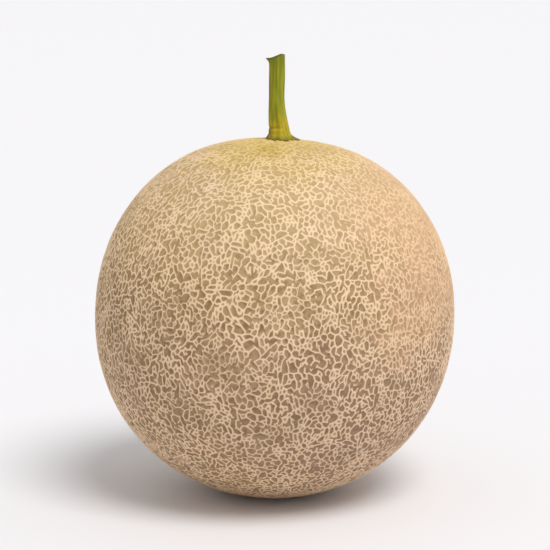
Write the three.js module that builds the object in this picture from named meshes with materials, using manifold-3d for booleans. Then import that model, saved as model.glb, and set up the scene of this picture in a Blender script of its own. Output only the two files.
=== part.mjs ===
// A whole netted cantaloupe melon with its cut stalk, standing on its blossom end.
// Millimetres, +Z up. The origin is on the surface that the melon rests on, at the
// middle of its outline seen from above. Two solids: the fruit, and the stalk that
// sits on a small flat at the fruit's stem end.
import * as THREE from "three";
import { mergeVertices } from "three/addons/utils/BufferGeometryUtils.js";
import Module from "manifold-3d";

const wasm = await Module();
wasm.setup();

// Fruit
const FRUIT_WIDTH = 150; // across the equator
const FRUIT_HEIGHT = 153; // stem end to blossom end, before the ends are flattened
const FULLNESS = 2.08; // exponent of the profile: 2 is an ellipse, more is squarer
const LEAN = THREE.MathUtils.degToRad(2.5); // the fruit's axis leans towards +X
const REST_DEPTH = 1.3; // how much of the underside the rest spot takes off
const CROWN_DIP = 2.7; // how far the stem end is sunk below the plain profile
const CROWN_RADIUS = 34; // and how wide that hollow is
const SWELLS = [
  // slow swellings of the flank: how many round the fruit, their height, their heading
  { count: 2, height: 0.6, heading: 0.6 },
  { count: 3, height: 0.4, heading: 2.1 },
  { count: 5, height: 0.2, heading: 0.9 },
];

// Stalk
const STALK_LENGTH = 34.8; // seat to the highest point of the cut end
const STALK_LOW_RADIUS = 3.8; // just above the foot
const STALK_TOP_RADIUS = 3.0; // at the cut end
const STALK_SWAY = 1.4; // how far the cut end leans over towards -X
const FOOT_RADIUS = 6.1; // where the flared foot meets the fruit
const FOOT_HEIGHT = 9; // how far up the flare runs
const FOOT_OFFSET = 2; // the foot stands this much further towards +X than the shaft
const RIB_COUNT = 5; // soft ribs along the stalk
const RIB_SHARE = 0.05; // their height, as a share of the radius
const FOOT_RIB_SHARE = 0.12; // the same at the foot, where the ribs spread like roots
const CUT_SLOPE = THREE.MathUtils.degToRad(20); // the cut falls towards -X
const BEAK_LENGTH = 1.8; // the torn lip beyond the stalk's low side
const BEAK_DEPTH = 2.5; // how far down the stalk the lip starts

// Fit of the stalk on the fruit
const SEAT_MARGIN = 1.2; // flat left round the foot
const SEAT_GAP = 0.3; // between the foot and its seat

// Mesh fineness
const FRUIT_SIDES = 64;
const FRUIT_RINGS = 38;
const STALK_SIDES = 30;
const STALK_RINGS = 20;

const seatRadius = FOOT_RADIUS * (1 + FOOT_RIB_SHARE) + SEAT_MARGIN;

// Height of the plain skin above the fruit's middle, at a distance from its own axis.
function skinHeight(distance) {
  const share = Math.min(distance / (FRUIT_WIDTH / 2), 1);
  return (FRUIT_HEIGHT / 2) * (1 - share ** FULLNESS) ** (1 / FULLNESS);
}

// The same at the stem end, where the skin is sunk.
function crownHeight(distance) {
  return skinHeight(distance) - CROWN_DIP * Math.exp(-((distance / CROWN_RADIUS) ** 2));
}

const seatHeight = crownHeight(seatRadius);

// The profile runs from the blossom end up to the flat seat, in equal steps of angle.
function fruitProfile() {
  const points = [];
  for (let i = 0; i < FRUIT_RINGS; i += 1) {
    const angle = (Math.PI * i) / FRUIT_RINGS;
    const distance = (FRUIT_WIDTH / 2) * Math.sin(angle) ** (2 / FULLNESS);
    const above = angle > Math.PI / 2;
    if (above && distance <= seatRadius) break;
    points.push(new THREE.Vector2(distance, above ? crownHeight(distance) : -skinHeight(distance)));
  }
  points.push(new THREE.Vector2(seatRadius, seatHeight), new THREE.Vector2(0, seatHeight));
  return points;
}

// How far the flank stands out of its round outline at a heading. It fades to nothing
// towards both ends, so that the seat stays round and flat.
function swellAt(heading, height) {
  const fade = Math.max(0, 1 - (height / seatHeight) ** 2);
  const waves = SWELLS.map((s) => s.height * Math.cos(s.count * (heading - s.heading)));
  return fade * waves.reduce((sum, wave) => sum + wave, 0);
}

// A manifold-3d solid from a closed three.js geometry.
function solidOf(geometry) {
  const bare = geometry.clone();
  bare.deleteAttribute("normal");
  bare.deleteAttribute("uv");
  const merged = mergeVertices(bare, 1e-4);
  return new wasm.Manifold(
    new wasm.Mesh({
      numProp: 3,
      vertProperties: new Float32Array(merged.getAttribute("position").array),
      triVerts: new Uint32Array(merged.index.array),
    }),
  );
}

// The three.js geometry of a manifold-3d solid.
function geometryOf(solid) {
  const mesh = solid.getMesh();
  const geometry = new THREE.BufferGeometry();
  geometry.setAttribute("position", new THREE.BufferAttribute(mesh.vertProperties, 3));
  geometry.setIndex(new THREE.BufferAttribute(mesh.triVerts, 1));
  geometry.computeVertexNormals();
  return geometry;
}

// The fruit: a turned profile with slow swellings, leaned over, then cut flat where it
// rests. Its middle is at the origin of the returned geometry.
function fruitGeometry() {
  const turned = new THREE.LatheGeometry(fruitProfile(), FRUIT_SIDES);
  turned.rotateX(Math.PI / 2); // the lathe turns about Y, the fruit about Z
  const position = turned.getAttribute("position");
  for (let i = 0; i < position.count; i += 1) {
    const x = position.getX(i);
    const y = position.getY(i);
    const swell = swellAt(Math.atan2(y, x), position.getZ(i));
    const scale = 1 + swell / (FRUIT_WIDTH / 2);
    position.setXY(i, x * scale, y * scale);
  }
  turned.rotateY(LEAN);
  turned.computeBoundingBox();
  const restHeight = turned.boundingBox.min.z + REST_DEPTH;
  const block = new THREE.BoxGeometry(2 * FRUIT_WIDTH, 2 * FRUIT_WIDTH, FRUIT_HEIGHT);
  block.translate(0, 0, restHeight - FRUIT_HEIGHT / 2);
  return geometryOf(solidOf(turned).subtract(solidOf(block)));
}

// How much of the foot's flare is left at a height above the seat, from 1 down to 0.
function flareAt(height) {
  return Math.max(0, 1 - height / FOOT_HEIGHT) ** 4;
}

// Radius of the stalk at a height and a heading: a slow taper, the flared foot, and ribs
// that grow deeper at the foot.
function stalkRadius(height, heading) {
  const flare = flareAt(height);
  const taper = (1 - height / STALK_LENGTH) ** 1.5;
  const shaft = STALK_TOP_RADIUS + (STALK_LOW_RADIUS - STALK_TOP_RADIUS) * taper;
  const round = shaft + (FOOT_RADIUS - STALK_LOW_RADIUS) * flare;
  const rib = RIB_SHARE + (FOOT_RIB_SHARE - RIB_SHARE) * flare;
  return round * (1 + rib * Math.cos(RIB_COUNT * heading));
}

// How far the torn lip reaches out at a depth below the cut, towards -X only.
function beakReach(depth, heading) {
  const rise = Math.max(0, 1 - depth / BEAK_DEPTH) ** 2;
  return BEAK_LENGTH * rise * Math.max(0, -Math.cos(heading)) ** 6;
}

// The stalk stands on z = 0 of its own frame, with the middle of its foot at the origin.
// Its rings climb a bowed line, and the upper ones tilt step by step into the cut.
function stalkGeometry() {
  const cutHeight = STALK_LENGTH - STALK_TOP_RADIUS * Math.tan(CUT_SLOPE);
  const points = [];
  for (let i = 0; i <= STALK_RINGS; i += 1) {
    const climb = (i / STALK_RINGS) ** 1.5; // the rings lie closer at the foot
    const height = cutHeight * climb;
    const tilt = Math.tan(CUT_SLOPE) * climb ** 6;
    const bow = -FOOT_OFFSET * (1 - (1 - climb) ** 3) - STALK_SWAY * climb;
    for (let k = 0; k < STALK_SIDES; k += 1) {
      const heading = (2 * Math.PI * k) / STALK_SIDES;
      const radius = stalkRadius(height, heading) + beakReach(cutHeight - height, heading);
      const x = radius * Math.cos(heading);
      points.push(x + bow, radius * Math.sin(heading), height + tilt * x);
    }
  }
  const seatCentre = points.length / 3;
  const cutCentre = seatCentre + 1;
  points.push(0, 0, 0);
  points.push(-FOOT_OFFSET - STALK_SWAY, 0, cutHeight);
  const faces = [];
  for (let k = 0; k < STALK_SIDES; k += 1) {
    const next = (k + 1) % STALK_SIDES;
    for (let i = 0; i < STALK_RINGS; i += 1) {
      const low = i * STALK_SIDES;
      const high = low + STALK_SIDES;
      faces.push(low + k, low + next, high + next);
      faces.push(low + k, high + next, high + k);
    }
    const rim = STALK_RINGS * STALK_SIDES;
    faces.push(seatCentre, next, k);
    faces.push(cutCentre, rim + k, rim + next);
  }
  const geometry = new THREE.BufferGeometry();
  geometry.setAttribute("position", new THREE.Float32BufferAttribute(points, 3));
  geometry.setIndex(faces);
  geometry.computeVertexNormals();
  return geometry;
}

const rind = new THREE.MeshStandardMaterial({ color: 0xd8b98e, roughness: 0.85 });
const greenStalk = new THREE.MeshStandardMaterial({ color: 0x929021, roughness: 0.6 });

const fruit = new THREE.Mesh(fruitGeometry(), rind);
fruit.name = "fruit";

const stalk = new THREE.Mesh(stalkGeometry(), greenStalk);
stalk.name = "stalk";
// The foot lies square on the leaned seat, and the stalk turns with it.
stalk.rotation.y = LEAN;
stalk.position.set(0, 0, seatHeight + SEAT_GAP).applyAxisAngle(new THREE.Vector3(0, 1, 0), LEAN);

// Stand the melon on z = 0, with the middle of its outline on the Z axis.
const melon = new THREE.Group();
melon.add(fruit, stalk);
const outline = new THREE.Box3().setFromObject(melon, true);
const middle = outline.getCenter(new THREE.Vector3());
melon.position.set(-middle.x, -middle.y, -outline.min.z);

export default melon;
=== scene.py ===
"""A netted cantaloupe with its cut stalk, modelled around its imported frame."""

import math
import random

import bmesh
import bpy
import numpy as np
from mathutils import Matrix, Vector, noise


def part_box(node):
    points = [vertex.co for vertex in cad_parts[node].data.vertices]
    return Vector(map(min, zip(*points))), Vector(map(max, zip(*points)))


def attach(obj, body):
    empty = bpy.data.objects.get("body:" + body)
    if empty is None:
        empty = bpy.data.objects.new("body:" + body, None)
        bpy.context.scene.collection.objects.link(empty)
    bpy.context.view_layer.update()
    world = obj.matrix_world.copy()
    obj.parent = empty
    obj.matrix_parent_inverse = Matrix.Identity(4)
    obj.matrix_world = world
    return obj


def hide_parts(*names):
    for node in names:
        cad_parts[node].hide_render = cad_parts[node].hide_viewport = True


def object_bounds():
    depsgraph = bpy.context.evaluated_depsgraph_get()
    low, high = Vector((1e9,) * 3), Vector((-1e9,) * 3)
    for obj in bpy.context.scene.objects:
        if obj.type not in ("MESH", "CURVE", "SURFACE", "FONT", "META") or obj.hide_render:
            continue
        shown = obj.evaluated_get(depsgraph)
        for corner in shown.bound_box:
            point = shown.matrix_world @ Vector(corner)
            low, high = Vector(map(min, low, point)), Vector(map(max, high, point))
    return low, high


bl_info = {
    "name": "Netted Cantaloupe",
    "version": (1, 0, 0),
    "blender": (4, 5, 0),
    "location": "3D View > Sidebar > Melon",
    "description": "Models a netted melon, its cut stalk and a plain studio stage",
    "category": "Add Mesh",
}

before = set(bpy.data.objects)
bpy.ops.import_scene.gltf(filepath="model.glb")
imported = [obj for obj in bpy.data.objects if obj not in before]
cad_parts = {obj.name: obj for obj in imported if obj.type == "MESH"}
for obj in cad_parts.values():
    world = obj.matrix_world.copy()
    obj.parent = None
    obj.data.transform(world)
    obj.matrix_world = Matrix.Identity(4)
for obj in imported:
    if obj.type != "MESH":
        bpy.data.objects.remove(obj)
CAD_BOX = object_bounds()
FRUIT_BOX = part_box("fruit")
STALK_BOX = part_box("stalk")
MM = 0.001
UP = Vector((0, 0, 1))


# ---------------------------------------------------------------- settings


def length(name, description, default):
    """A size in metres, shown with its unit."""
    return bpy.props.FloatProperty(
        name=name, description=description, default=default, min=0, precision=5, unit="LENGTH"
    )


def share(name, description, default):
    """A plain number from 0 to 1."""
    return bpy.props.FloatProperty(
        name=name, description=description, default=default, min=0, max=1, subtype="FACTOR"
    )


def colour(name, description, default):
    """A linear colour."""
    return bpy.props.FloatVectorProperty(
        name=name, description=description, default=default, size=3, min=0, max=1, subtype="COLOR"
    )


class MelonRindSettings(bpy.types.PropertyGroup):
    """Sizes and colours of the netted rind."""

    seed: bpy.props.IntProperty(name="Seed", description="Draw of the net", default=7)
    cell: length("Cell", "Usual distance between neighbouring cords of the net", 2.5 * MM)
    cord: length("Cord width", "Usual width of a cord of cork", 1.25 * MM)
    relief: length("Relief", "Height of the cords above the skin between them", 0.38 * MM)
    lean: bpy.props.FloatProperty(
        name="Lean",
        description="Lean of the fruit's axis towards +X",
        default=math.radians(2.5),
        subtype="ANGLE",
    )
    cork: colour("Cork", "Cords of the net", (0.85, 0.63, 0.39))
    skin: colour("Skin", "Skin between the cords", (0.40, 0.255, 0.12))
    halo: colour("Halo", "Yellow skin round the stalk", (0.72, 0.51, 0.15))
    # A warm orange tint on the upper +X shoulder: partly the fruit's own colour, partly painted
    # light on the lit side.
    blush_and_light: colour("Blush", "Warm side of the fruit", (0.68, 0.41, 0.23))


class MelonStalkSettings(bpy.types.PropertyGroup):
    """Colours of the cut stalk."""

    green: colour("Green", "Olive skin of the stalk", (0.20, 0.205, 0.008))
    yellow: colour("Yellow", "Ripened streaks", (0.46, 0.35, 0.015))
    brown: colour("Brown", "Dry marks near the foot", (0.20, 0.12, 0.015))
    cut: colour("Cut", "Dried cut end", (0.20, 0.19, 0.05))


class MelonStudioSettings(bpy.types.PropertyGroup):
    """Floor, light and camera."""

    lens: bpy.props.FloatProperty(name="Lens", description="Focal length in mm", default=120)
    elevation: bpy.props.FloatProperty(
        name="Elevation",
        description="Height of the camera above the horizon",
        default=math.radians(9),
        subtype="ANGLE",
    )
    filling: share("Filling", "Share of the picture's height that the melon takes", 0.8)
    floor: colour("Floor", "Plain pale floor", (0.86, 0.85, 0.865))
    sky: colour("Sky", "Even light from all round", (1, 0.995, 1))
    fill: share("Fill", "Strength of the even light", 0.56)


# ---------------------------------------------------------------- shader help


class Value:
    """A shader socket. Arithmetic on it adds Math nodes to its tree."""

    def __init__(self, tree, socket):
        self.tree, self.socket = tree, socket

    def math(self, operation, *operands):
        """Adds a Math node on two Values or numbers."""
        node = self.tree.nodes.new("ShaderNodeMath")
        node.operation = operation
        for slot, operand in zip(node.inputs, operands):
            feed(self.tree, slot, operand)
        return Value(self.tree, node.outputs[0])

    def __add__(self, other):
        return self.math("ADD", self, other)

    def __radd__(self, other):
        return self.math("ADD", other, self)

    def __sub__(self, other):
        return self.math("SUBTRACT", self, other)

    def __rsub__(self, other):
        return self.math("SUBTRACT", other, self)

    def __mul__(self, other):
        return self.math("MULTIPLY", self, other)

    def __rmul__(self, other):
        return self.math("MULTIPLY", other, self)


def feed(tree, slot, value):
    """Links a Value to an input, or sets the input to a number, colour or vector."""
    if isinstance(value, Value):
        tree.links.new(value.socket, slot)
    elif slot.type == "RGBA":
        slot.default_value = (*value, 1.0)
    else:
        slot.default_value = value


class Finish:
    """A material under construction, with one Principled shader."""

    def __init__(self, name):
        self.material = bpy.data.materials.new(name)
        self.material.use_nodes = True
        self.tree = self.material.node_tree
        self.shader = self.tree.nodes["Principled BSDF"]

    def node(self, kind, settings=None, output=0, **inputs):
        """Adds a node: its settings first, then its inputs, named with _ for spaces."""
        node = self.tree.nodes.new("ShaderNode" + kind)
        for key, value in (settings or {}).items():
            setattr(node, key, value)
        for key, value in inputs.items():
            label = key.replace("_", " ")
            slots = [s for s in node.inputs if s.enabled and s.name.lower() == label.lower()]
            feed(self.tree, slots[0], value)
        outputs = [s for s in node.outputs if s.enabled]
        wanted = node.outputs[output] if isinstance(output, str) else outputs[output]
        return Value(self.tree, wanted)

    def place(self, centre=(0, 0, 0), stretch=(1, 1, 1)):
        """Object coordinates about a point."""
        coordinates = self.node("TexCoord", output="Object")
        moved = self.node("VectorMath", {"operation": "SUBTRACT"})
        node = moved.socket.node
        feed(self.tree, node.inputs[0], coordinates)
        feed(self.tree, node.inputs[1], Vector(centre))
        scaled = self.node("VectorMath", {"operation": "MULTIPLY"})
        feed(self.tree, scaled.socket.node.inputs[0], moved)
        feed(self.tree, scaled.socket.node.inputs[1], Vector(stretch))
        return scaled

    def distance(self, place):
        """Length of a vector."""
        node = self.tree.nodes.new("ShaderNodeVectorMath")
        node.operation = "LENGTH"
        feed(self.tree, node.inputs[0], place)
        return Value(self.tree, node.outputs["Value"])

    def axis(self, place, letter):
        """One coordinate of a vector."""
        return self.node("SeparateXYZ", output=letter, vector=place)

    def grain(self, place, size, detail=3.0):
        """Noise whose blotches are about size across, from 0 to 1."""
        return self.node("TexNoise", vector=place, scale=1.0 / size, detail=detail)

    def step(self, value, low, high):
        """Smooth step from 0 at low to 1 at high."""
        return self.node(
            "MapRange",
            {"interpolation_type": "SMOOTHSTEP", "clamp": True},
            value=value,
            from_min=low,
            from_max=high,
            to_min=0.0,
            to_max=1.0,
        )

    def mix(self, factor, first, second):
        """Mixes two colours, from the first at 0 to the second at 1."""
        node = self.tree.nodes.new("ShaderNodeMix")
        node.data_type = "RGBA"
        feed(self.tree, node.inputs["Factor"], factor)
        feed(self.tree, node.inputs[6], first)
        feed(self.tree, node.inputs[7], second)
        return Value(self.tree, node.outputs[2])

    def relief(self, height, depth, normal=None):
        """Bump of a height from 0 to 1, whose full depth is given in metres."""
        inputs = {"height": height, "distance": depth, "strength": 1.0}
        if normal is not None:
            inputs["normal"] = normal
        return self.node("Bump", **inputs)

    def set(self, **inputs):
        """Sets or links inputs of the Principled shader."""
        for key, value in inputs.items():
            label = key.replace("_", " ").lower()
            slot = next(s for s in self.shader.inputs if s.name.lower() == label)
            feed(self.tree, slot, value)


# ---------------------------------------------------------------- mesh help


def clear_selection():
    """Leaves edit mode and selects nothing."""
    if bpy.context.object and bpy.context.object.mode != "OBJECT":
        bpy.ops.object.mode_set(mode="OBJECT")
    bpy.ops.object.select_all(action="DESELECT")


def take(piece):
    """Makes a piece the only selected and the active object."""
    clear_selection()
    piece.select_set(True)
    bpy.context.view_layer.objects.active = piece


def edit(mode="VERT"):
    """Enters edit mode on the active object, in a select mode."""
    bpy.ops.object.mode_set(mode="EDIT")
    bpy.ops.mesh.select_mode(type=mode)


def settle(piece, name, material, node):
    """Names a finished piece, gives it its finish and puts it in place of its CAD node."""
    take(piece)
    bpy.ops.object.transform_apply(location=True, rotation=True, scale=True)
    piece.name = piece.data.name = name
    piece.data.materials.clear()
    piece.data.materials.append(material)
    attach(piece, "root")
    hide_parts(node)


# ---------------------------------------------------------------- rind

# Lengths are in mm here, and become metres where they are used.
MERGE = 0.01  # points of the frame's mesh nearer than this are one
FIRST_CUTS = 5  # divisions of the cube that the cells start from
FIRST_JITTER = 4  # how unevenly those first cells are laid out

SPLIT_TRIES = 7  # cuts tried on each cell, of which the roomiest is made
SPLIT_TURN = 0.5  # spread of a cut's direction, in radians
SPLIT_SHIFT = 0.12  # spread of its place, as a share of the cell
SPLIT_BIAS = 1.25  # favours cuts that run up the fruit
CELL_AREA = 1.34  # area past which a cell splits, in squares of the usual distance
CELL_SPREAD = 0.3  # and how much that varies

SLOW_BEND, SLOW_REACH = 14, 1.5  # length and height of the slow bends in the cords
QUICK_BEND, QUICK_REACH = 5, 0.45  # and of the quick ones
LAST_JITTER = 0.2

OPEN_LENGTH, OPEN_SHARE = 1.3, 0.08  # cords taken out whole: shortest, and how many
BREAK_LENGTH, BREAK_SHARE = 1.4, 0.3  # cords bent or broken in the middle
GAP_SHARE = 0.6  # how many of those are broken
BEND = 0.32  # reach of a bend, as a share of the cord's length
PATCH = 13  # size of the patches where the net is strong or faint
FAINTEST = 0.35  # how strongly the faintest cord is drawn

PIT_ROOM = 1.06  # cells narrower than this become pits
WIDTH_LEVELS = 12  # cords come in this many widths
WIDEST = 0.65  # the widest, as a share of the usual width
UNEVEN_SIZE = 1.5  # distance over which a cord's width changes
SPIKE = 0.8  # a corner this much further out than its side is long is drawn in
SAME_POINT = 0.02
UPRIGHT = 0.6  # a cell's floor that turns away more than this is closed
TURNED = 0.25  # and faces past this are smoothed back


def smooth_fruit():
    """A smooth copy of the frame's fruit, for the rind to be drawn onto."""
    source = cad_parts["fruit"]
    guide = bpy.data.objects.new("guide", source.data.copy())
    bpy.context.scene.collection.objects.link(guide)
    take(guide)
    edit()
    bpy.ops.mesh.select_all(action="SELECT")
    bpy.ops.mesh.remove_doubles(threshold=MERGE * MM)
    bpy.ops.mesh.tris_convert_to_quads()
    bpy.ops.object.mode_set(mode="OBJECT")
    rounding = guide.modifiers.new("rounding", "SUBSURF")
    rounding.levels = rounding.render_levels = 2
    bpy.ops.object.modifier_apply(modifier=rounding.name)
    return guide


def scatter(reach, draw):
    """Moves each selected point a little, in a direction of its own."""
    seed = draw.randrange(999)
    bpy.ops.transform.vertex_random(offset=reach, uniform=1.0, normal=0.0, seed=seed)


def first_cells(middle, radius, lean, draw):
    """A coarse ball of uneven cells, blown up from a divided cube."""
    clear_selection()
    bpy.ops.mesh.primitive_cube_add(size=radius, location=middle, rotation=(0, lean, 0))
    ball = bpy.context.object
    edit()
    bpy.ops.mesh.select_all(action="SELECT")
    bpy.ops.mesh.subdivide(number_cuts=FIRST_CUTS)
    bpy.ops.transform.tosphere(value=1.0)
    scatter(FIRST_JITTER * MM, draw)
    bpy.ops.object.mode_set(mode="OBJECT")
    bpy.ops.object.transform_apply(location=True, rotation=True, scale=True)
    for vertex in ball.data.vertices:
        vertex.co = middle + (vertex.co - middle).normalized() * radius
    return ball


def put_in_order(piece):
    """Numbers the points, edges and faces by their places, so that each run gives the
    same shape."""
    mesh = bmesh.from_edit_mesh(piece.data)
    heading = Vector((0.802, 0.374, 0.466))
    mesh.verts.sort(key=lambda vertex: vertex.co.dot(heading))
    mesh.edges.sort(key=lambda edge: (edge.verts[0].co + edge.verts[1].co).dot(heading))
    mesh.faces.sort(key=lambda face: face.calc_center_median().dot(heading))
    for part in (mesh.verts, mesh.edges, mesh.faces):
        part.index_update()
    bmesh.update_edit_mesh(piece.data)


def long_axis(corners, centre, across, along):
    """Direction in which a cell is longest, as an angle from across towards along."""
    wide = tall = slant = 0.0
    for first, second in zip(corners, corners[1:] + corners[:1]):
        middle = (first + second) / 2 - centre
        x, y, weight = middle.dot(across), middle.dot(along), (second - first).length
        wide += x * x * weight
        tall += y * y * weight
        slant += x * y * weight
    return math.atan2(2 * slant, wide - tall) / 2


def split_cell(cell, middle, radius, draw):
    """Cuts a cell in two, roughly across its length, clear of its corners. Returns the
    two halves and the ends of the cut."""
    corners = [v.co.copy() for v in cell.verts]
    centre = cell.calc_center_median_weighted()
    outward = (centre - middle).normalized()
    across = UP.cross(outward).normalized()
    along = outward.cross(across)
    angle = long_axis(corners, centre, across * SPLIT_BIAS, along)
    best, best_room = None, -1.0
    for _ in range(SPLIT_TRIES):
        turned = angle + draw.gauss(0, SPLIT_TURN)
        facing = across * math.cos(turned) + along * math.sin(turned)
        heights = [(corner - centre).dot(facing) for corner in corners]
        shift = draw.gauss(0, SPLIT_SHIFT) * (max(heights) - min(heights))
        heights = [h - shift for h in heights]
        crossed = []
        for loop, low, high in zip(cell.loops, heights, heights[1:] + heights[:1]):
            if low * high < 0:
                part = low / (low - high)
                crossed.append((loop, part, min(part, 1 - part) * loop.edge.calc_length()))
        if len(crossed) == 2:
            room = min(crossed[0][2], crossed[1][2])
            if room > best_room:
                best, best_room = crossed, room
    if best is None:
        return (), ()
    ends = []
    for loop, part, _ in best:
        edge, start = loop.edge, loop.vert
        _, vertex = bmesh.utils.edge_split(edge, start, part)
        vertex.co = middle + (vertex.co - middle).normalized() * radius
        ends.append(vertex)
    other, _ = bmesh.utils.face_split(cell, ends[0], ends[1])
    return (cell, other), ends


def crack(piece, middle, radius, cell, draw):
    """Splits the cells over and over, as a growing rind cracks, to uneven final sizes.
    Each point keeps the age of its cord: 0 for the first cracks, more for later ones."""
    mesh = bmesh.new()
    mesh.from_mesh(piece.data)
    age = mesh.verts.layers.float.new("age")
    usual = cell * cell * CELL_AREA
    waiting = [(face, 0) for face in mesh.faces]
    while waiting:
        face, splits = waiting.pop()
        limit = usual * math.exp(draw.gauss(0, CELL_SPREAD))
        if face.calc_area() < limit:
            continue
        halves, ends = split_cell(face, middle, radius, draw)
        for vertex in ends:
            vertex[age] = splits + 1
        waiting.extend((half, splits + 1) for half in halves)
    mesh.to_mesh(piece.data)
    mesh.free()


def relax(piece, guide, draw):
    """Bends the long straight cords, lets all find softer angles, then lays them on the
    fruit."""
    # Without a seed, noise_vector takes its offsets from the clock.
    noise.seed_set(draw.randrange(1, 999))
    for vertex in piece.data.vertices:
        slow = noise.noise_vector(vertex.co / (SLOW_BEND * MM)) * SLOW_REACH * MM
        quick = noise.noise_vector(vertex.co / (QUICK_BEND * MM)) * QUICK_REACH * MM
        vertex.co += slow + quick
    take(piece)
    edit()
    bpy.ops.mesh.select_all(action="SELECT")
    bpy.ops.mesh.vertices_smooth(factor=0.5, repeat=1)
    scatter(LAST_JITTER * MM, draw)
    bpy.ops.object.mode_set(mode="OBJECT")
    laid = piece.modifiers.new("laid", "SHRINKWRAP")
    laid.target, laid.wrap_method = guide, "NEAREST_SURFACEPOINT"
    bpy.ops.object.modifier_apply(modifier=laid.name)


def open_cells(mesh, fates):
    """Takes out some of the longer cords whole, so that neighbouring cells run together."""
    used = set()
    doomed = []
    for edge in mesh.edges:
        if edge.calc_length() < OPEN_LENGTH * MM or fates[edge][0] > OPEN_SHARE:
            continue
        if all(face not in used for face in edge.link_faces):
            used.update(edge.link_faces)
            doomed.append(edge)
    bmesh.ops.dissolve_edges(mesh, edges=doomed, use_verts=False)


def break_cords(piece, middle, draw):
    """Opens some cells, bends some of the longer cords and breaks others in the middle,
    leaving two spurs. Stores how strongly each point of the net is drawn, from 0 to 1."""
    mesh = bmesh.new()
    mesh.from_mesh(piece.data)
    age = mesh.verts.layers.float["age"]
    net = mesh.verts.layers.float.new("net")
    oldest = max(v[age] for v in mesh.verts)
    for vertex in mesh.verts:
        patch = noise.noise((vertex.co - middle) / (PATCH * MM))
        young = (vertex[age] / oldest) ** 2
        strength = 0.98 + 0.35 * patch - 0.22 * young - 0.2 * draw.random()
        vertex[net] = min(1.0, max(FAINTEST, strength))
    # Every cord has its own draws, whatever becomes of the others.
    fates = {edge: [draw.random() for _ in range(5)] for edge in mesh.edges}
    open_cells(mesh, fates)
    for edge in list(mesh.edges):
        _, chance, place, bend, gap = fates[edge]
        long = edge.calc_length()
        if long < BREAK_LENGTH * MM or chance > BREAK_SHARE:
            continue
        first, second = edge.verts
        across = (second.co - first.co).cross(first.co - middle).normalized()
        whole = (first[net] + second[net]) / 2
        _, vertex = bmesh.utils.edge_split(edge, first, 0.35 + 0.3 * place)
        vertex.co += across * long * (BEND * bend - BEND / 2)
        vertex[net] = 0.0 if gap < GAP_SHARE else whole
    mesh.to_mesh(piece.data)
    mesh.free()


def flatten_spikes(face):
    """Draws in any corner of a small face that stands far out from its neighbours."""
    corners = [vertex.co.copy() for vertex in face.verts]
    befores, afters = corners[-1:] + corners[:-1], corners[1:] + corners[:1]
    for vertex, before, after in zip(face.verts, befores, afters):
        between = (before + after) / 2
        if (vertex.co - between).length > (after - before).length + SPIKE * MM:
            vertex.co = between
    face.normal_update()


def sink_cells(piece, middle, cord, relief):
    """Insets every cell, so that its border stands up as a cord of cork. The smallest
    cells become plain pits. Draws in and smooths what the inset turned over."""
    take(piece)
    edit("FACE")
    put_in_order(piece)
    mesh = bmesh.from_edit_mesh(piece.data)
    net = mesh.verts.layers.float["net"]
    pits = [f for f in mesh.faces if 2 * f.calc_area() < PIT_ROOM * MM * f.calc_perimeter()]
    for pit in bmesh.ops.poke(mesh, faces=pits)["verts"]:
        pit[net] = 0.0
        pit.select_set(False)
    mesh.faces.index_update()
    mesh.faces.ensure_lookup_table()
    large = [f for f in mesh.faces if all(v[net] > 0 for v in f.verts) or len(f.verts) > 3]
    rooms = {f.index: 2 * f.calc_area() / f.calc_perimeter() for f in large}
    widest = cord * WIDEST
    levels = {}
    for index, room in rooms.items():
        uneven = noise.noise(mesh.faces[index].calc_center_median() / (UNEVEN_SIZE * MM))
        wanted = min(0.52 * room, cord / 2 * (0.97 + 0.5 * uneven)) / widest
        level = min(WIDTH_LEVELS, max(1, round(WIDTH_LEVELS * wanted)))
        levels.setdefault(level, []).append(index)
    for level, members in levels.items():
        mesh = bmesh.from_edit_mesh(piece.data)
        mesh.faces.ensure_lookup_table()
        for face in mesh.faces:
            face.select_set(False)
        for index in members:
            mesh.faces[index].select_set(True)
        bmesh.update_edit_mesh(piece.data)
        width = widest * level / WIDTH_LEVELS
        bpy.ops.mesh.inset(
            use_individual=True, thickness=width, depth=-relief, use_even_offset=True
        )
    mesh = bmesh.from_edit_mesh(piece.data)
    mesh.faces.ensure_lookup_table()
    net = mesh.verts.layers.float["net"]
    floor = set()
    for index in rooms:
        face = mesh.faces[index]
        floor.update(face.verts)
        flatten_spikes(face)
        if face.normal.dot((face.calc_center_median() - middle).normalized()) < UPRIGHT:
            centre = face.calc_center_median()
            for vertex in face.verts:
                vertex.co = centre
    for vertex in mesh.verts:
        if vertex in floor:
            vertex[net] = 0.0
        else:
            vertex.co -= vertex.normal * relief * (1 - vertex[net])
    for face in mesh.faces:
        face.select_set(face.index in rooms)
    bmesh.update_edit_mesh(piece.data)
    bpy.ops.mesh.vertices_smooth(factor=0.2, repeat=1)
    bpy.ops.mesh.select_all(action="SELECT")
    bpy.ops.mesh.remove_doubles(threshold=SAME_POINT * MM)
    put_in_order(piece)
    for _ in range(5):
        mesh = bmesh.from_edit_mesh(piece.data)
        for face in mesh.faces:
            outward = (face.calc_center_median() - middle).normalized()
            face.select_set(face.normal.dot(outward) < TURNED)
        bmesh.update_edit_mesh(piece.data)
        bpy.ops.mesh.vertices_smooth(factor=0.5, repeat=3)
    bpy.ops.object.mode_set(mode="OBJECT")


# Colours beside those in the settings.
PALE_SKIN = (0.46, 0.305, 0.155)
DARK_SKIN = (0.25, 0.15, 0.06)
# Paler skin of the top: partly the crown's own colour, partly painted light from above.
CROWN_SKIN_AND_LIGHT = (0.60, 0.425, 0.20)
HALO_SKIN = (0.40, 0.28, 0.05)
# Painted shade with a painted pink reflection, for the skin of the lower part.
UNDER_SHADE_SKIN = (0.25, 0.15, 0.095)
PALE_CORK = (0.85, 0.62, 0.41)
SPECKED_CORK = (0.64, 0.45, 0.25)
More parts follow.
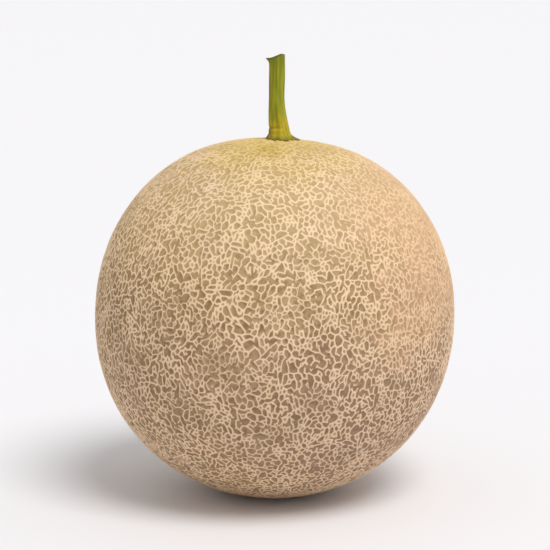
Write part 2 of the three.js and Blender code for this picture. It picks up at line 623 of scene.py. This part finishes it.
# The same painted shade and pink reflection, for the cords of the lower part.
UNDER_SHADE_CORK = (0.66, 0.46, 0.35)
STAIN, STAIN_FLECKS = (0.58, 0.38, 0.06), (0.26, 0.16, 0.012)
SCAR, SCAR_RIM = (0.42, 0.29, 0.16), (0.22, 0.14, 0.07)


def rind_finish(settings, middle, seat, scar):
    """Cream cork cords over tan skin, yellower at the stalk and warmer on one side, with painted
    light on the top and the warm side, and painted shade with a painted pink reflection on the
    lower part.
    """
    finish = Finish("netted_rind")
    place = finish.place(middle)
    net = finish.node("Attribute", {"attribute_name": "net"}, output="Fac")
    from_halo = finish.distance(finish.place(seat + Vector((-4, -9, 0)) * MM))
    blotch = finish.grain(place, 22 * MM, detail=2.0)
    mottle = finish.grain(place, 2.2 * MM, detail=3.0)
    speck = finish.grain(place, 0.5 * MM, detail=2.0)

    high, across = finish.axis(place, "Z"), finish.axis(place, "X")
    uneven = blotch - 0.5
    skin = finish.mix(finish.step(blotch, 0.42, 0.66), settings.skin, PALE_SKIN)
    skin = finish.mix(finish.step(mottle, 0.38, 0.66), skin, DARK_SKIN)
    # Skin paler and yellower towards the top: partly the crown's own colour, partly painted light
    # from above.
    crown_and_top_light = finish.step(high, 5 * MM, 72 * MM)
    skin = finish.mix(crown_and_top_light * 0.7, skin, CROWN_SKIN_AND_LIGHT)
    cork = finish.mix(finish.step(blotch, 0.38, 0.62), settings.cork, PALE_CORK)
    cork = finish.mix(finish.step(speck, 0.45, 0.75) * 0.35, cork, SPECKED_CORK)

    # Painted shade: skin and cords darker and pinker towards the bottom, more so towards +X. The
    # pink is a painted reflection.
    under = 1.0 - finish.step(high + uneven * (60 * MM), -25 * MM, 40 * MM)
    shade_and_pink_reflection = (0.5 + finish.step(across, -25 * MM, 25 * MM) * 0.5) * under
    skin = finish.mix(shade_and_pink_reflection * 0.6, skin, UNDER_SHADE_SKIN)
    cork = finish.mix(shade_and_pink_reflection * 0.4, cork, UNDER_SHADE_CORK)
    near_stalk = 1.0 - finish.step(from_halo + uneven * (24 * MM), 6 * MM, 46 * MM)
    skin = finish.mix(near_stalk * 0.7, skin, HALO_SKIN)
    edge = finish.step(net, 0.1, 0.75)
    base = finish.mix(edge, skin, cork)
    base = finish.mix(near_stalk * (0.35 + edge * 0.45), base, settings.halo)
    stained = finish.place(seat + Vector((-5, -23, -2)) * MM, stretch=(1.3, 0.9, 1))
    spot = finish.distance(stained)
    stain = 1.0 - finish.step(spot + (blotch - 0.5) * (18 * MM), 2 * MM, 12 * MM)
    base = finish.mix(stain * 0.45, base, STAIN)
    base = finish.mix(stain * finish.step(mottle, 0.5, 0.68) * 0.75, base, STAIN_FLECKS)
    # Warm tint on the upper +X shoulder: partly the fruit's own blush, partly painted light where
    # the light falls.
    shoulder = finish.step(across + uneven * (40 * MM), 15 * MM, 60 * MM)
    lit_upper_part = finish.step(high + uneven * (60 * MM), -30 * MM, 40 * MM)
    base = finish.mix(shoulder * lit_upper_part * 0.5, base, settings.blush_and_light)
    from_scar = finish.distance(finish.place(scar))
    base = finish.mix(1.0 - finish.step(from_scar, 5.5 * MM, 6.5 * MM), base, SCAR)
    inside = finish.step(from_scar, 4.6 * MM, 5.4 * MM)
    ring = inside * (1.0 - finish.step(from_scar, 6 * MM, 7.2 * MM))
    base = finish.mix(ring * 0.7, base, SCAR_RIM)

    bumps = finish.relief(mottle, 0.10 * MM)
    bumps = finish.relief(speck, 0.06 * MM, normal=bumps)
    finish.set(
        base_color=base,
        roughness=0.62 + edge * 0.22,
        normal=bumps,
        specular_ior_level=0.35,
    )
    return finish.material


class MELON_OT_rind(bpy.types.Operator):
    """Model the fruit's netted rind"""

    bl_idname = "melon.rind"
    bl_label = "Netted rind"

    def execute(self, context):
        settings = context.scene.melon_rind
        draw = random.Random(settings.seed)
        low, high = FRUIT_BOX
        middle = (low + high) / 2
        radius = (high - low).x / 2
        guide = smooth_fruit()
        rind = first_cells(middle, radius, settings.lean, draw)
        crack(rind, middle, radius, settings.cell, draw)
        relax(rind, guide, draw)
        break_cords(rind, middle, draw)
        sink_cells(rind, middle, settings.cord, settings.relief)
        take(rind)
        bpy.ops.object.shade_smooth()
        bpy.data.objects.remove(guide)
        seat = Vector(((STALK_BOX[1].x + STALK_BOX[0].x) / 2, 0, STALK_BOX[0].z))
        scar = Vector((middle.x - math.sin(settings.lean) * middle.z, middle.y, low.z))
        finish = rind_finish(settings, middle, seat, scar)
        settle(rind, "netted_rind", finish, "fruit")
        return {"FINISHED"}


# ---------------------------------------------------------------- stalk


# Rings of the stalk in mm, from under the rind up to the cut end: height above the seat,
# shift towards +X from the seat's middle, radius, and tilt in degrees.
RINGS = (
    (-0.8, -0.9, 6.2, 0),
    (0.0, -0.95, 5.8, 0),
    (0.8, -1.15, 5.0, 0),
    (2.0, -1.2, 4.4, 0),
    (3.6, -1.4, 4.15, 0),
    (5.6, -1.8, 4.05, 0),
    (8.0, -2.2, 3.8, 0),
    (11.0, -2.6, 3.5, 0),
    (14.0, -2.85, 3.2, 0),
    (17.0, -3.0, 3.05, 0),
    (20.0, -3.15, 3.15, 0),
    (24.0, -3.15, 3.2, 0),
    (28.5, -3.25, 3.15, 2),
    (31.2, -3.4, 3.2, 8),
    (34.0, -3.4, 3.3, 25),
)


def grow_stalk():
    """A plain stalk drawn up ring by ring from a disc, with a sunk pith in its cut end."""
    clear_selection()
    height, shift, radius, tilt = RINGS[0]
    bpy.ops.mesh.primitive_circle_add(
        vertices=40, radius=radius * MM, fill_type="NGON", location=(shift * MM, 0, height * MM)
    )
    stalk = bpy.context.object
    bpy.ops.object.transform_apply(location=True, rotation=True, scale=True)
    edit("FACE")
    bpy.ops.mesh.select_all(action="SELECT")
    for ring in RINGS[1:]:
        step = ((ring[1] - shift) * MM, 0, (ring[0] - height) * MM)
        bpy.ops.mesh.extrude_region_move(TRANSFORM_OT_translate={"value": step})
        pivot = (ring[1] * MM, 0, ring[0] * MM)
        growth = ring[2] / radius
        bpy.ops.transform.resize(value=(growth, growth, growth), center_override=pivot)
        bpy.ops.transform.rotate(
            value=math.radians(ring[3] - tilt), orient_axis="Y", center_override=pivot
        )
        height, shift, radius, tilt = ring
    bpy.ops.mesh.inset(thickness=0.35 * MM)
    bpy.ops.mesh.inset(thickness=0.5 * MM, depth=-0.5 * MM)
    bpy.ops.mesh.inset(thickness=1.1 * MM, depth=0.1 * MM)
    bpy.ops.mesh.poke()
    put_in_order(stalk)
    bpy.ops.object.mode_set(mode="OBJECT")
    rounding = stalk.modifiers.new("rounding", "SUBSURF")
    rounding.levels = rounding.render_levels = 2
    bpy.ops.object.modifier_apply(modifier=rounding.name)
    return stalk


# Lengths in mm, and shares of the radius.
RIB_COUNT, RIB_RISE, FOOT_RIB_RISE = 5, 0.045, 0.06  # soft ribs, deeper at the foot
FLARE_HEIGHT = 9  # how far up the foot's ribs run
WHOLE_RADIUS = 2.6  # nearer the middle than this, the carving fades away
ROOT_REACH, ROOT_HEIGHT = 2.0, 2.6  # ridge of the foot, towards +X
CREASE_HEADING = 2.4  # side of the crease, in radians
CREASE_HEIGHT, CREASE_WIDTH, CREASE_DEPTH = 4.5, 0.5, 0.4
WELT_HEIGHT, WELT_WIDTH, WELT_RISE = 3.1, 0.7, 0.25  # swelling under the crease
LIP_REACH, LIP_DEPTH = 2.0, 2.4  # torn lip, towards -X
CUT_TOP = 34.6  # highest point of the cut end
CUT_EDGE = 1.2  # depth below the cut at which the skin is whole again
LOWEST_CUT = 25  # height below which nothing counts as cut


def carve_stalk(stalk):
    """Ribs, wrinkles, the root-like ridge of the foot, a crease above it and the torn lip.
    Stores how near each point is to the cut end, from 0 to 1."""
    heights = [ring[0] for ring in RINGS]
    shifts = [ring[1] for ring in RINGS]
    end, lift = heights[-1], math.tan(math.radians(RINGS[-1][3]))
    near = stalk.data.attributes.new("cut", "FLOAT", "POINT")
    for index, vertex in enumerate(stalk.data.vertices):
        x, y, z = vertex.co / MM
        middle = float(np.interp(z, heights, shifts))
        heading, radial = math.atan2(y, x - middle), math.hypot(x - middle, y)
        depth = end + lift * (x - middle) - z
        above = max(z, 0)
        facing = math.cos(heading)
        flare = max(0, 1 - above / FLARE_HEIGHT) ** 3
        inner = min(1, radial / WHOLE_RADIUS)
        wave = math.cos(RIB_COUNT * heading + 0.045 * z)
        fine = 0.022 * math.cos(13 * heading + 1 - 0.03 * z)
        fine += 0.012 * math.cos(29 * heading + 0.05 * z)
        lump = 0.03 * noise.noise(Vector((x / 3, y / 3, z / 6)))
        radial *= 1 + inner * ((RIB_RISE + FOOT_RIB_RISE * flare) * wave + fine + lump)
        radial += ROOT_REACH * max(0, 1 - above / ROOT_HEIGHT) ** 2 * max(0, facing) ** 10
        side = max(0, math.cos(heading + CREASE_HEADING))
        crease = (z - CREASE_HEIGHT - 0.4 * facing) / CREASE_WIDTH
        radial -= CREASE_DEPTH * side * math.exp(-(crease**2))
        radial += WELT_RISE * side * math.exp(-(((z - WELT_HEIGHT) / WELT_WIDTH) ** 2))
        if depth > -0.3:
            lip = max(0, 1 - depth / LIP_DEPTH) ** 2 * max(0, -facing) ** 8
            radial += LIP_REACH * lip * inner**4
        vertex.co.x = (middle + radial * facing) * MM
        vertex.co.y = radial * math.sin(heading) * MM
        vertex.co.z = min(z, CUT_TOP) * MM
        nearness = max(0.0, min(1.0, 1 - depth / CUT_EDGE))
        near.data[index].value = nearness if z > LOWEST_CUT else 0.0


def stalk_seat(lean):
    """Middle of the frame's stalk where it meets the fruit."""
    axis = Vector((math.sin(lean), 0, math.cos(lean)))
    points = [vertex.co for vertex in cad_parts["stalk"].data.vertices]
    lowest = min(point.dot(axis) for point in points)
    foot = [point for point in points if point.dot(axis) < lowest + 0.05 * MM]
    return sum(foot, Vector()) / len(foot)


# Colours beside those in the settings.
LIGHT_GREEN = (0.30, 0.31, 0.012)
TOP_GREEN = (0.11, 0.14, 0.01)
SIDE_BROWN = (0.30, 0.20, 0.02)
ROOT_BROWN = (0.19, 0.15, 0.05)
FOOT_SHADE = (0.10, 0.10, 0.008)
# Painted shade along the rim of the cut end.
CUT_RIM_SHADE = (0.06, 0.075, 0.01)


def stalk_finish(settings, seat):
    """Streaked olive green, ripened yellow and brown towards the foot, dry at the cut, with
    painted shade at the foot and along the rim of the cut end.
    """
    finish = Finish("green_stalk")
    place = finish.place(seat)
    long = finish.place(seat, stretch=(1, 1, 0.1))
    streak = finish.grain(long, 1.3 * MM, detail=3.0)
    broad = finish.grain(finish.place(seat, stretch=(1, 1, 0.3)), 3.5 * MM, detail=2.0)
    speck = finish.grain(place, 0.6 * MM, detail=2.0)
    high, across = finish.axis(place, "Z"), finish.axis(place, "X")

    green = finish.mix(finish.step(streak, 0.36, 0.66), settings.green, LIGHT_GREEN)
    ripe = 1.0 - finish.step(high + (broad - 0.5) * (14 * MM), 5 * MM, 13 * MM)
    base = finish.mix(ripe * (0.25 + finish.step(streak, 0.38, 0.6) * 0.7), green, settings.yellow)
    left = 1.0 - finish.step(across + (broad - 0.5) * (3 * MM), -6 * MM, -3.2 * MM)
    low = 1.0 - finish.step(high, 4.2 * MM, 5.6 * MM)
    base = finish.mix(left * low * 0.8, base, settings.brown)
    base = finish.mix(left * finish.step(high, 8 * MM, 14 * MM) * 0.35, base, SIDE_BROWN)
    base = finish.mix((1.0 - finish.step(high, 0.0, 2.0 * MM)) * 0.6, base, FOOT_SHADE)
    base = finish.mix(finish.step(across, 3.2 * MM, 6 * MM) * 0.8, base, ROOT_BROWN)
    base = finish.mix(finish.step(high, 28 * MM, 34 * MM) * 0.4, base, TOP_GREEN)
    cut = finish.node("Attribute", {"attribute_name": "cut"}, output="Fac")
    # Painted shade: a dark band along the rim just under the cut end.
    base = finish.mix(finish.step(cut, 0.25, 0.8) * 0.75, base, CUT_RIM_SHADE)
    dry = finish.step(cut, 0.93, 1.0) * finish.step(speck, 0.3, 0.7)
    base = finish.mix(dry, base, settings.cut)

    bumps = finish.relief(streak, 0.16 * MM)
    bumps = finish.relief(speck, 0.05 * MM, normal=bumps)
    finish.set(base_color=base, roughness=0.6, normal=bumps, specular_ior_level=0.22)
    return finish.material


class MELON_OT_stalk(bpy.types.Operator):
    """Model the ribbed stalk with its flared foot and slanting cut end"""

    bl_idname = "melon.stalk"
    bl_label = "Green stalk"

    def execute(self, context):
        settings = context.scene.melon_stalk
        lean = context.scene.melon_rind.lean
        seat = stalk_seat(lean)
        stalk = grow_stalk()
        carve_stalk(stalk)
        take(stalk)
        bpy.ops.object.shade_smooth()
        stalk.rotation_euler = (0, lean, 0)
        stalk.location = seat
        settle(stalk, "green_stalk", stalk_finish(settings, seat), "stalk")
        return {"FINISHED"}


# ---------------------------------------------------------------- stage


FLOOR_SIZE = 120  # metres, so that its edge stays out of sight


def soft_sun(name, heading, height, spread, power):
    """A broad even light from a heading (0 behind the camera) and a height, in degrees."""
    lamp = bpy.data.lights.new(name, "SUN")
    lamp.energy, lamp.angle = power, math.radians(spread)
    holder = bpy.data.objects.new(name, lamp)
    bpy.context.scene.collection.objects.link(holder)
    turn, rise = math.radians(heading), math.radians(height)
    flat = math.cos(rise)
    towards = Vector((math.sin(turn) * flat, -math.cos(turn) * flat, math.sin(rise)))
    holder.rotation_euler = towards.to_track_quat("Z", "Y").to_euler()


class MELON_OT_stage(bpy.types.Operator):
    """Set up the floor, the light and the camera"""

    bl_idname = "melon.stage"
    bl_label = "Stage"

    def execute(self, context):
        settings = context.scene.melon_studio
        scene = context.scene
        scene.view_settings.view_transform = "Standard"
        world = bpy.data.worlds.new("studio")
        world.use_nodes = True
        glow = world.node_tree.nodes["Background"]
        glow.inputs["Color"].default_value = (*settings.sky, 1)
        glow.inputs["Strength"].default_value = settings.fill
        scene.world = world

        clear_selection()
        bpy.ops.mesh.primitive_plane_add(size=FLOOR_SIZE)
        floor = context.object
        floor.name = "floor"
        finish = Finish("floor")
        finish.set(base_color=settings.floor, roughness=0.6)
        floor.data.materials.append(finish.material)

        centre = (CAD_BOX[0] + CAD_BOX[1]) / 2
        tall = (CAD_BOX[1] - CAD_BOX[0]).z
        soft_sun("key", heading=35, height=59, spread=30, power=2.04)
        soft_sun("edge", heading=105, height=8, spread=60, power=0.5)

        camera = bpy.data.objects.new("camera", bpy.data.cameras.new("camera"))
        scene.collection.objects.link(camera)
        camera.data.lens = settings.lens
        reach = tall / settings.filling / (camera.data.sensor_width / settings.lens)
        back = Vector((0, -math.cos(settings.elevation), math.sin(settings.elevation)))
        camera.location = centre + back * reach
        camera.rotation_euler = (-back).to_track_quat("-Z", "Y").to_euler()
        scene.camera = camera
        return {"FINISHED"}


class MELON_PT_panel(bpy.types.Panel):
    """Builds each part of the scene and shows its settings"""

    bl_idname = "MELON_PT_panel"
    bl_label = "Netted Cantaloupe"
    bl_space_type = "VIEW_3D"
    bl_region_type = "UI"
    bl_category = "Melon"

    def draw(self, context):
        for operator, group in (
            (MELON_OT_rind, context.scene.melon_rind),
            (MELON_OT_stalk, context.scene.melon_stalk),
            (MELON_OT_stage, context.scene.melon_studio),
        ):
            box = self.layout.box()
            box.operator(operator.bl_idname)
            for name in group.__annotations__:
                box.prop(group, name)


GROUPS = {
    "melon_rind": MelonRindSettings,
    "melon_stalk": MelonStalkSettings,
    "melon_studio": MelonStudioSettings,
}
CLASSES = (*GROUPS.values(), MELON_OT_rind, MELON_OT_stalk, MELON_OT_stage, MELON_PT_panel)


def register():
    """Registers the classes and hangs their settings on the scene."""
    for each in CLASSES:
        bpy.utils.register_class(each)
    for name, group in GROUPS.items():
        setattr(bpy.types.Scene, name, bpy.props.PointerProperty(type=group))


def unregister():
    """Takes the settings and the classes away again."""
    for name in GROUPS:
        delattr(bpy.types.Scene, name)
    for each in reversed(CLASSES):
        bpy.utils.unregister_class(each)


def main():
    """Builds the melon and its stage."""
    register()
    bpy.ops.melon.rind()
    bpy.ops.melon.stalk()
    bpy.ops.melon.stage()


if __name__ == "__main__":
    main()
